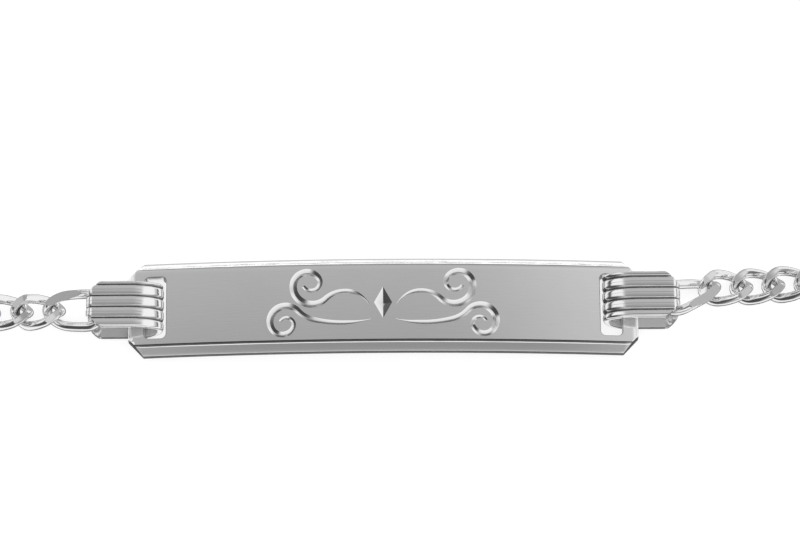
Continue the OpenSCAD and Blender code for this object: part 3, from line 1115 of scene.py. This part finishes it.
    def cutters(self) -> list[BMesh]:
        """Makes what the bail's outer end is cut with.

        Returns:
            The prisms that round the shoulders, and the blocks that narrow the wall.
        """
        made = []
        slant_w = (self.width - self.fold_w) / 2
        power = self.shoulder_power
        levels = ((-CUTTER_PAST, self.height / 2, 0.0),
                  (self.height / 2, self.height + CUTTER_PAST, self.nose_l))
        for side in (-1, 1):
            for low, high, nose in levels:
                nose_x = self.length - nose
                prism = bmesh.new()
                outline = [(nose_x - self.shoulder_l * (1 - t),
                            side * (self.fold_w / 2 + slant_w * (1 - t ** power) ** (1 / power)))
                           for t in spread(0.0, 1.0, 14)]
                outline += [(self.length + CUTTER_PAST, side * self.fold_w / 2),
                            (self.length + CUTTER_PAST, side * self.width),
                            (nose_x - self.shoulder_l, side * self.width)]
                face = prism.faces.new([prism.verts.new((px, py, low)) for px, py in outline])
                lifted = bmesh.ops.extrude_face_region(prism, geom=[face])["geom"]
                bmesh.ops.translate(prism, vec=(0.0, 0.0, high - low),
                                    verts=[v for v in lifted if isinstance(v, BMVert)])
                bmesh.ops.recalc_face_normals(prism, faces=prism.faces)
                made.append(prism)
            block = bmesh.new()
            tall = self.height - 2 * self.fold_r
            middle_y = side * (self.neck_w + self.width) / 2
            place = Matrix.Translation((self.length, middle_y, self.height / 2))
            bmesh.ops.create_cube(block, size=1.0, matrix=place @ Matrix.Diagonal(
                (2 * self.fold_r, self.width, tall, 1.0)))
            made.append(block)
        return made

    def build(self) -> bpy.types.Object:
        """Builds the finished bail.

        Returns:
            The piece.
        """
        node = f"bail_{self.side.label}"
        low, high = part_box(node)
        bm = carve(self.strap_loop(), self.cutters())
        bmesh.ops.translate(bm, vec=(-self.length, 0.0, 0.0), verts=bm.verts)
        if self.side is Side.LEFT:
            bmesh.ops.scale(bm, vec=(-1.0, 1.0, 1.0), verts=bm.verts)
            bmesh.ops.reverse_faces(bm, faces=bm.faces)
        outer_x = high.x if self.side is Side.RIGHT else low.x
        place = Vector((outer_x, (low.y + high.y) / 2, 0.0)) / MM
        bmesh.ops.translate(bm, vec=place, verts=bm.verts)
        return finish_piece(bm, f"strap_{node}", node, BAIL_SILVER, sharp_deg=38.0)


# The chain


@dataclass(frozen=True)
class Link:
    """One kind of link: a twisted loop of round wire with flat cut faces."""

    half_l: float
    half_w: float
    round_l: float
    twist_in: float
    twist_out: float
    facet: float
    wire_r: float = 0.34
    # Painted shade that darkens the flat cut faces to the grey of their reflection
    cut_painted_shade: float = 0.35
    meet_from: float = 0.55
    meet_full: float = 0.95
    arc_steps: int = 22
    straight_steps: int = 6
    wire_sides: int = 18

    def centreline(self) -> list[tuple[float, float, float]]:
        """Follows the wire's centre line on the flat loop.

        Returns:
            Its places, and its outward directions in degrees.
        """
        straight = self.half_l - self.round_l
        rows = []
        for side in (1, -1):
            for a in spread(-90.0, 90.0, self.arc_steps):
                c, s = math.cos(math.radians(a)), math.sin(math.radians(a))
                facing = math.degrees(math.atan2(side * s / self.half_w, side * c / self.round_l))
                rows.append((side * (straight + self.round_l * c), side * self.half_w * s, facing))
            rows += [(side * straight * (1 - 2 * t), side * self.half_w, side * 90.0)
                     for t in spread(0.0, 1.0, self.straight_steps)[1:-1]]
        return rows

    def twisted(self, point: Vector) -> Vector:
        """A point of the flat loop after the link is twisted.

        Args:
            point: The point on the flat loop.

        Returns:
            The point turned about the link's length.
        """
        share = (point.x + self.half_l) / (2 * self.half_l)
        angle = math.radians(self.twist_in + (self.twist_out - self.twist_in) * share)
        return Matrix.Rotation(angle, 3, "X") @ point

    def build(self) -> BMesh:
        """Bends the wire into the link and cuts its flat faces.

        Returns:
            The link about its own middle, with its length along X.
        """
        bm = bmesh.new()
        layer = bm.verts.layers.float.new(PAINTED_SHADE)
        skin = Skin(bm)
        rows = self.centreline()
        for x, y, facing in [*rows, rows[0]]:
            out = Vector((math.cos(math.radians(facing)), math.sin(math.radians(facing)), 0.0))
            ring = []
            for i in range(self.wire_sides):
                u = math.tau * i / self.wire_sides
                ring.append(self.twisted(Vector((x, y, 0.0)) + out * (self.wire_r * math.cos(u))
                                         + Vector((0.0, 0.0, self.wire_r * math.sin(u)))))
            skin.draw(ring)
            # Painted shade on the inner side of the wire at the link's ends, where the links meet
            for i, vert in enumerate(skin.last):
                inner = max(0.0, -math.cos(math.tau * i / self.wire_sides))
                at_end = ease(abs(x) / self.half_l, self.meet_from, self.meet_full)
                vert[layer] = inner ** 2 * at_end
        skin.join_ends()
        for up in (-1.0, 1.0):
            shave(bm, Vector((0.0, 0.0, up * self.facet)), Vector((0.0, 0.0, up)))
        # Painted shade darkens the flat cut faces
        for vert in bm.verts:
            if abs(vert.co.z) > self.facet - CLOSE:
                vert[layer] = max(vert[layer], self.cut_painted_shade)
        return bm


END_LINK = Link(2.0, 1.13, 1.3, 0.0, -60.0, 0.8)
CURB_LINK = Link(1.6, 0.94, 0.94, 54.4, -54.4, 0.7)
LAST_LINK = Link(1.6, 0.94, 0.94, 54.4, 0.0, 0.7)


@dataclass(frozen=True)
class ChainHalf:
    """Half of the chain, from its bail round to its jump ring.

    Its run leaves a hinge point in the bail along the end link, bends there, goes straight
    on, turns through a round bend and comes straight back.
    """

    side: Side
    shift: float
    turn_deg: float
    heading_deg: float
    loop_depth: float = 26.0
    loop_reach: float = 40.2
    hinge_x: float = 19.55
    end_tip_x: float = 19.1
    chain_end_x: float = 4.7302
    origin_y: float = 12.205
    low_z: float = 0.765
    end_z: float = 1.35
    climb: float = 7.0
    pitch: float = 2.25

    @property
    def first_s(self) -> float:
        """How far along the run the end link's middle lies."""
        return self.end_tip_x + END_LINK.half_l - self.hinge_x

    @property
    def second_s(self) -> float:
        """How far along the run the first small link's middle lies."""
        return self.first_s + self.pitch + END_LINK.half_l - CURB_LINK.half_l

    @property
    def end_run(self) -> float:
        """How far along the run its bend beyond the end link lies."""
        return (self.first_s + END_LINK.half_l + self.second_s - CURB_LINK.half_l) / 2

    @property
    def hinge(self) -> Vector:
        """The hinge point in the bail."""
        return Vector((self.hinge_x, self.shift))

    @property
    def start(self) -> Vector:
        """Where the run goes on from the end link."""
        return self.hinge + self.end_run * direction(self.turn_deg)

    @property
    def det(self) -> float:
        """The determinant of the two equations for the middle straight and the bend."""
        out = direction(self.heading_deg)
        return out.y * (1 - out.y) - (1 + out.x) * out.x

    @property
    def turn_r(self) -> float:
        """The round bend's radius."""
        out = direction(self.heading_deg)
        reach, depth = self.loop_reach - self.start.x, self.loop_depth - self.start.y
        return (reach * out.y - depth * out.x) / self.det

    @property
    def near_run(self) -> float:
        """The length of the middle straight stretch."""
        out = direction(self.heading_deg)
        reach, depth = self.loop_reach - self.start.x, self.loop_depth - self.start.y
        return (depth * (1 - out.y) - reach * (1 + out.x)) / self.det

    @property
    def turn_run(self) -> float:
        """The length of the round bend."""
        return self.turn_r * math.radians(180 - self.heading_deg)

    @property
    def turn_centre(self) -> Vector:
        """The middle of the round bend."""
        out = direction(self.heading_deg)
        return self.start + out * self.near_run + Vector((-out.y, out.x)) * self.turn_r

    @property
    def whole_run(self) -> float:
        """The length of the whole run."""
        return self.end_run + self.near_run + self.turn_run + self.turn_centre.x - self.chain_end_x

    def heading(self, s: float) -> float:
        """The run's direction at a distance along it.

        Args:
            s: The distance from the hinge point.

        Returns:
            The direction's angle to the plate's line, in radians.
        """
        if s < self.end_run:
            return math.radians(self.turn_deg)
        turned = max(0.0, min(s - self.end_run - self.near_run, self.turn_run)) / self.turn_r
        return math.radians(self.heading_deg) + turned

    def point(self, s: float) -> Vector:
        """The run's place over the surface at a distance along it.

        Args:
            s: The distance from the hinge point.

        Returns:
            The place on the bracelet's right half, measured from the plate's middle.
        """
        near = s - self.end_run
        past_near = near - self.near_run
        past_turn = past_near - self.turn_run
        a = self.heading(s)
        if near < 0:
            flat = self.hinge + s * direction(self.turn_deg)
        elif past_near < 0:
            flat = self.start + near * direction(self.heading_deg)
        elif past_turn < 0:
            flat = self.turn_centre + self.turn_r * Vector((math.sin(a), -math.cos(a)))
        else:
            flat = self.turn_centre + Vector((-past_turn, self.turn_r))
        return Vector((flat.x, flat.y, self.height(s)))

    def height(self, s: float) -> float:
        """The centre line's height at a distance along it."""
        rise = 2 - smooth(s / self.climb) - smooth((self.whole_run - s) / self.climb)
        return self.low_z + (self.end_z - self.low_z) * rise

    def frame_at(self, s: float) -> Matrix:
        """Where a link's own axes lie at a distance along the centre line.

        Args:
            s: The distance from the hinge point.

        Returns:
            The matrix that sets a link there.
        """
        step = 0.05
        a = self.heading(s)
        rise = math.atan((self.height(s + step) - self.height(s - step)) / (2 * step))
        along = Vector((math.cos(a) * math.cos(rise), math.sin(a) * math.cos(rise), math.sin(rise)))
        across = Vector((-math.sin(a), math.cos(a), 0.0))
        up = along.cross(across)
        side = self.side.value
        at = self.point(s)
        mirror = Vector((side, 1.0, 1.0))
        columns = [along * mirror, across * mirror * side, up * mirror]
        turn = Matrix(columns).transposed().to_4x4()
        return Matrix.Translation((side * at.x, at.y - self.origin_y, at.z)) @ turn

    def places(self) -> list[tuple[float, Link]]:
        """Spaces the links along the run.

        Returns:
            Each link's distance from the hinge point, and its kind.
        """
        last = self.whole_run - CURB_LINK.half_l
        count = round((last - self.second_s) / self.pitch)
        step = (last - self.second_s) / count
        small = [(self.second_s + step * i, CURB_LINK) for i in range(count)]
        return [(self.first_s, END_LINK), *small, (last, LAST_LINK)]

    def build(self) -> bpy.types.Object:
        """Builds the half as one piece of loose links.

        Returns:
            The piece.
        """
        meshes = {}
        for link in (END_LINK, CURB_LINK, LAST_LINK):
            mesh = bpy.data.meshes.new("link")
            bm = link.build()
            bm.to_mesh(mesh)
            bm.free()
            meshes[link] = mesh
        whole = bmesh.new()
        for s, link in self.places():
            known = len(whole.verts)
            whole.from_mesh(meshes[link])
            whole.verts.ensure_lookup_table()
            bmesh.ops.transform(whole, matrix=self.frame_at(s), verts=whole.verts[known:])
        for mesh in meshes.values():
            bpy.data.meshes.remove(mesh)
        node = f"chain_{self.side.label}"
        return finish_piece(whole, f"curb_{node}", node, CHAIN_SILVER, sharp_deg=30.0,
                            level_normals=True)


# The fastening


@dataclass(frozen=True)
class JumpRing:
    """A round ring of wire between the chain and the clasp."""

    side: Side
    ring_r: float = 1.7
    wire_r: float = 0.35
    steps: int = 72
    wire_sides: int = 20

    def build(self) -> bpy.types.Object:
        """Builds the finished ring.

        Returns:
            The piece.
        """
        node = f"jump_ring_{self.side.label}"
        low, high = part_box(node)
        bm = bmesh.new()
        place = Matrix.Translation((self.ring_r, 0.0, 0.0)) @ Matrix.Rotation(math.pi / 2, 4, "X")
        bmesh.ops.create_circle(bm, segments=self.wire_sides, radius=self.wire_r, matrix=place)
        bmesh.ops.spin(bm, geom=[*bm.verts, *bm.edges], cent=(0.0, 0.0, 0.0), axis=(0.0, 0.0, 1.0),
                       dvec=(0.0, 0.0, 0.0), angle=math.tau, steps=self.steps, use_merge=True)
        bmesh.ops.remove_doubles(bm, verts=bm.verts, dist=WELD)
        bmesh.ops.recalc_face_normals(bm, faces=bm.faces)
        upright = Matrix.Rotation(math.pi / 2, 4, "X")
        centre = Matrix.Translation((low + high) / (2 * MM))
        bmesh.ops.transform(bm, matrix=centre @ upright, verts=bm.verts)
        return finish_piece(bm, f"round_ring_{self.side.label}", node, CLASP_SILVER)


@dataclass(frozen=True)
class Clasp:
    """A plain swelling clasp with an eye in each flat end."""

    eye_gap: float = 5.2
    tail_hole: float = 0.78
    hook_hole: float = 1.15
    eye_bar: float = 0.6
    thick: float = 3.0
    tab: float = 1.0
    tab_clear: float = 0.1
    drill_l: float = 4.0
    drill_sides: int = 48
    edge_round: float = 0.22
    slice_w: float = 0.2

    @property
    def half_l(self) -> float:
        """Half the clasp's length."""
        return (self.eye_gap + self.tail_hole + self.hook_hole + 2 * self.eye_bar) / 2

    @property
    def eyes(self) -> tuple[tuple[float, float], tuple[float, float]]:
        """Where the tail's and the hook's eyes lie along the clasp, with their holes' radii."""
        return ((self.tail_hole + self.eye_bar - self.half_l, self.tail_hole),
                (self.half_l - self.hook_hole - self.eye_bar, self.hook_hole))

    def outline(self) -> list[Vector]:
        """Draws the outline from above: two round ends joined by straight sides.

        Returns:
            The outline's points, round the clasp's middle.
        """
        (tail_x, tail_hole), (hook_x, hook_hole) = self.eyes
        tail_r, hook_r = tail_hole + self.eye_bar, hook_hole + self.eye_bar
        touch = math.degrees(math.acos((tail_r - hook_r) / self.eye_gap))
        hook = [Vector((hook_x, 0.0)) + hook_r * direction(a) for a in spread(-touch, touch, 36)]
        tail = [Vector((tail_x, 0.0)) + tail_r * direction(a)
                for a in spread(touch, 360.0 - touch, 28)]
        return [*hook, *tail]

    def half_height(self, x: float) -> float:
        """Half the clasp's height at a place along it.

        Args:
            x: The place, from the clasp's middle.

        Returns:
            The height of its upper side over its middle.
        """
        lens_half = self.half_l - self.eye_bar - self.tab_clear
        rise = (self.thick - self.tab) / 2
        lens_r = (lens_half ** 2 + rise ** 2) / (2 * rise)
        swell = self.tab / 2
        if abs(x) < lens_half:
            swell += math.sqrt(lens_r ** 2 - x ** 2) - lens_r + rise
        return swell

    def build(self) -> bpy.types.Object:
        """Builds the finished clasp.

        Returns:
            The piece.
        """
        low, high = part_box("clasp")
        skin = Skin(bmesh.new())
        for z in (-1.0, 1.0):
            skin.draw([Vector((point.x, point.y, z)) for point in self.outline()])
        skin.cap()
        cutters = []
        for x, r in self.eyes:
            drill = bmesh.new()
            bmesh.ops.create_cone(drill, cap_ends=True, segments=self.drill_sides, radius1=r, radius2=r,
                                  depth=self.drill_l, matrix=Matrix.Translation((x, 0.0, 0.0)))
            cutters.append(drill)
        bm = carve(skin.bm, cutters)
        slices = int(self.half_l / self.slice_w)
        score(bm, Vector((1.0, 0.0, 0.0)), [i * self.slice_w for i in range(-slices, slices + 1)])
        for vert in bm.verts:
            vert.co.z *= self.half_height(vert.co.x)
        soften(bm, sharp_edges(bm, 55.0), self.edge_round, 4)
        bmesh.ops.translate(bm, vec=(low + high) / (2 * MM), verts=bm.verts)
        return finish_piece(bm, "plain_clasp", "clasp", CLASP_SILVER, level_normals=True)


# The studio


@dataclass(frozen=True)
class Card:
    """A card in the tent: its grey, and where its view fades in along each axis."""

    grey: float
    x: tuple[float, float]
    y: tuple[float, float]
    z: tuple[float, float] = (0.0, 0.2)

    def share(self, x: Sock, y: Sock, z: Sock) -> Sock:
        """How much of a direction's view the card fills."""
        return x.step(*self.x) * y.step(*self.y) * z.step(*self.z)


@dataclass(frozen=True)
class Studio:
    """A pale surface under soft light, with the camera over the plate's near side."""

    floor_half: float = 4.0
    lens: float = 180.0
    distance: float = 0.27545
    elevation_deg: float = 70.0
    roll_deg: float = -0.4
    aim: tuple[float, float, float] = (0.001175, -0.009344, 0.00176)
    sun_power: float = 2.4
    sun_angle_deg: float = 120.0
    near_far: tuple[tuple[float, float], ...] = (
        (-180.0, 0.45), (-171.0, 0.5), (-167.0, 0.95), (-156.0, 0.95), (-152.0, 0.1), (-122.0, 0.1),
        (-117.0, 0.95), (-78.0, 0.95), (-71.0, 0.5), (-64.0, 0.33), (-59.0, 0.29), (-50.5, 0.29),
        (-47.5, 0.95), (-20.0, 0.95), (-16.0, 0.11), (-4.0, 0.11), (3.0, 0.25), (11.0, 0.33),
        (17.0, 0.39), (22.5, 0.47), (30.0, 0.5), (45.0, 0.45), (60.0, 0.4), (66.0, 0.3), (69.0, 0.12),
        (77.0, 0.12), (81.0, 1.3), (98.0, 1.3), (102.0, 0.6), (110.0, 0.5), (125.0, 0.45),
        (180.0, 0.45))
    left_right: tuple[tuple[float, float], ...] = (
        (-180.0, 0.15), (-148.0, 0.15), (-141.0, 0.95), (-75.0, 0.95), (-70.0, 0.3), (-66.0, 0.3),
        (-63.0, 0.08), (-56.0, 0.08), (-53.5, 0.36), (-51.0, 0.95), (51.0, 0.95), (54.0, 0.55),
        (62.0, 0.55), (65.0, 0.1), (71.0, 0.1), (75.0, 0.95), (141.0, 0.95), (148.0, 0.15), (180.0, 0.15))
    cards: tuple[Card, ...] = (
        Card(0.07, (-0.05, -0.6), (0.25, 0.0)), Card(0.95, (0.1, 0.5), (0.45, 0.7)))
    narrow_side: tuple[float, float] = (0.28, 0.36)
    wide_side: tuple[float, float] = (0.12, 0.5)
    wide_near: tuple[float, float] = (-0.15, -0.3)
    wide_far: tuple[float, float] = (0.5, 0.65)
    lift: float = 0.17
    lift_x: tuple[float, float] = (0.05, 0.27)
    lift_near_deg: tuple[float, float] = (7.2, 14.4)
    lift_far_deg: tuple[float, float] = (36.0, 28.8)
    backdrop: float = 1.0

    def floor(self) -> None:
        """Lays the pale surface."""
        bm = bmesh.new()
        bmesh.ops.create_grid(bm, x_segments=8, y_segments=8, size=self.floor_half)
        surface = set_object(bm, "surface")
        surface.data.materials.append(PaleFloor().make())
        surface.visible_glossy = False

    @staticmethod
    def place(angle_deg: float) -> float:
        """Where an angle from -180 to 180 degrees lies from 0 to 1."""
        return (angle_deg + 180) / 360

    def stops(self, rows: Sequence[tuple[float, float]]) -> list[tuple[float, float]]:
        """A profile over -180 to 180 degrees as stops from 0 to 1."""
        return [(self.place(angle), grey) for angle, grey in rows]

    def sky(self) -> None:
        """Builds the soft tent of light: grey overhead, with white and dark cards round it.

        One profile runs from the near side to the far side and one from left to right. The
        first one shows in what faces up, and the second one in what faces aside.
        """
        world = bpy.data.worlds.new("tent")
        world.use_nodes = True
        bpy.context.scene.world = world
        graph = Graph(world.node_tree)
        view = graph.out("ShaderNodeTexCoord", output="Generated")
        split = graph.add("ShaderNodeSeparateXYZ", {}, {"Vector": view})
        x, y, z = (Sock(graph, split.outputs[i]) for i in range(3))
        near_far = y.math("ARCTAN2", z) * (1 / math.tau) + 0.5
        left_right = x.math("ARCTAN2", z) * (1 / math.tau) + 0.5
        ahead, aside = (
            graph.out("ShaderNodeValToRGB", {"stops": self.stops(rows)}, {"Fac": across})
            for rows, across in ((self.near_far, near_far), (self.left_right, left_right)))
        overhead = (near_far.step(*map(self.place, self.lift_near_deg))
                    * near_far.step(*map(self.place, self.lift_far_deg)))
        ahead = ahead + x.step(*self.lift_x) * self.lift * overhead
        for card in self.cards:
            aside = aside.toward(card.grey, card.share(x, y, z))
        narrow = abs(x).step(*self.narrow_side)
        wide = abs(x).step(*self.wide_side)
        wider = y.step(*self.wide_near).math("ADD", y.step(*self.wide_far), clamp=True)
        tent = ahead.toward(aside, narrow.toward(wide, wider))
        seen = graph.out("ShaderNodeLightPath", output="Is Camera Ray")
        back = graph.out("ShaderNodeBackground", {}, {
            "Color": tent.toward(self.backdrop, seen), "Strength": 1.0})
        graph.add("ShaderNodeOutputWorld", {}, {"Surface": back})

    def lamp(self) -> None:
        """Hangs the broad soft lamp that lights the pale surface."""
        data = bpy.data.lights.new("soft_lamp", "SUN")
        data.energy = self.sun_power
        data.angle = math.radians(self.sun_angle_deg)
        lamp = bpy.data.objects.new("soft_lamp", data)
        lamp.visible_glossy = False
        bpy.context.scene.collection.objects.link(lamp)

    def camera(self) -> None:
        """Sets up the camera."""
        data = bpy.data.cameras.new("camera")
        data.lens = self.lens
        data.sensor_width = 36.0
        data.clip_start, data.clip_end = 0.01, 20.0
        camera = bpy.data.objects.new("camera", data)
        bpy.context.scene.collection.objects.link(camera)
        e = math.radians(self.elevation_deg)
        back = Vector((0.0, -math.cos(e), math.sin(e)))
        camera.location = Vector(self.aim) + back * self.distance
        roll = Matrix.Rotation(math.radians(self.roll_deg), 3, "Z")
        camera.rotation_euler = ((-back).to_track_quat("-Z", "Y").to_matrix() @ roll).to_euler()
        bpy.context.scene.camera = camera

    def build(self) -> None:
        """Builds the whole studio."""
        self.floor()
        self.sky()
        self.lamp()
        self.camera()
        bpy.context.scene.view_settings.view_transform = "Standard"
        bpy.context.scene.view_settings.look = "None"


def main() -> None:
    """Builds the bracelet and its studio, and reports each piece."""
    logging.basicConfig(level=logging.INFO, format="%(name)s: %(message)s")
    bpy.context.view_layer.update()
    sub_assemblies = (
        Plate(),
        Bail(Side.LEFT, reed_shift=0.18),
        Bail(Side.RIGHT, reed_shift=0.06),
        ChainHalf(Side.LEFT, shift=-0.06, turn_deg=0.5, heading_deg=1.0),
        ChainHalf(Side.RIGHT, shift=0.39, turn_deg=18.0, heading_deg=4.0),
        JumpRing(Side.LEFT),
        JumpRing(Side.RIGHT),
        Clasp(),
    )
    for sub_assembly in sub_assemblies:
        piece = sub_assembly.build()
        log.info("%s: %d faces, in %s", piece.name, len(piece.data.polygons),
                 piece.data.materials[0].name)
    Studio().build()
    bpy.context.view_layer.update()


if __name__ == "__main__":
    main()
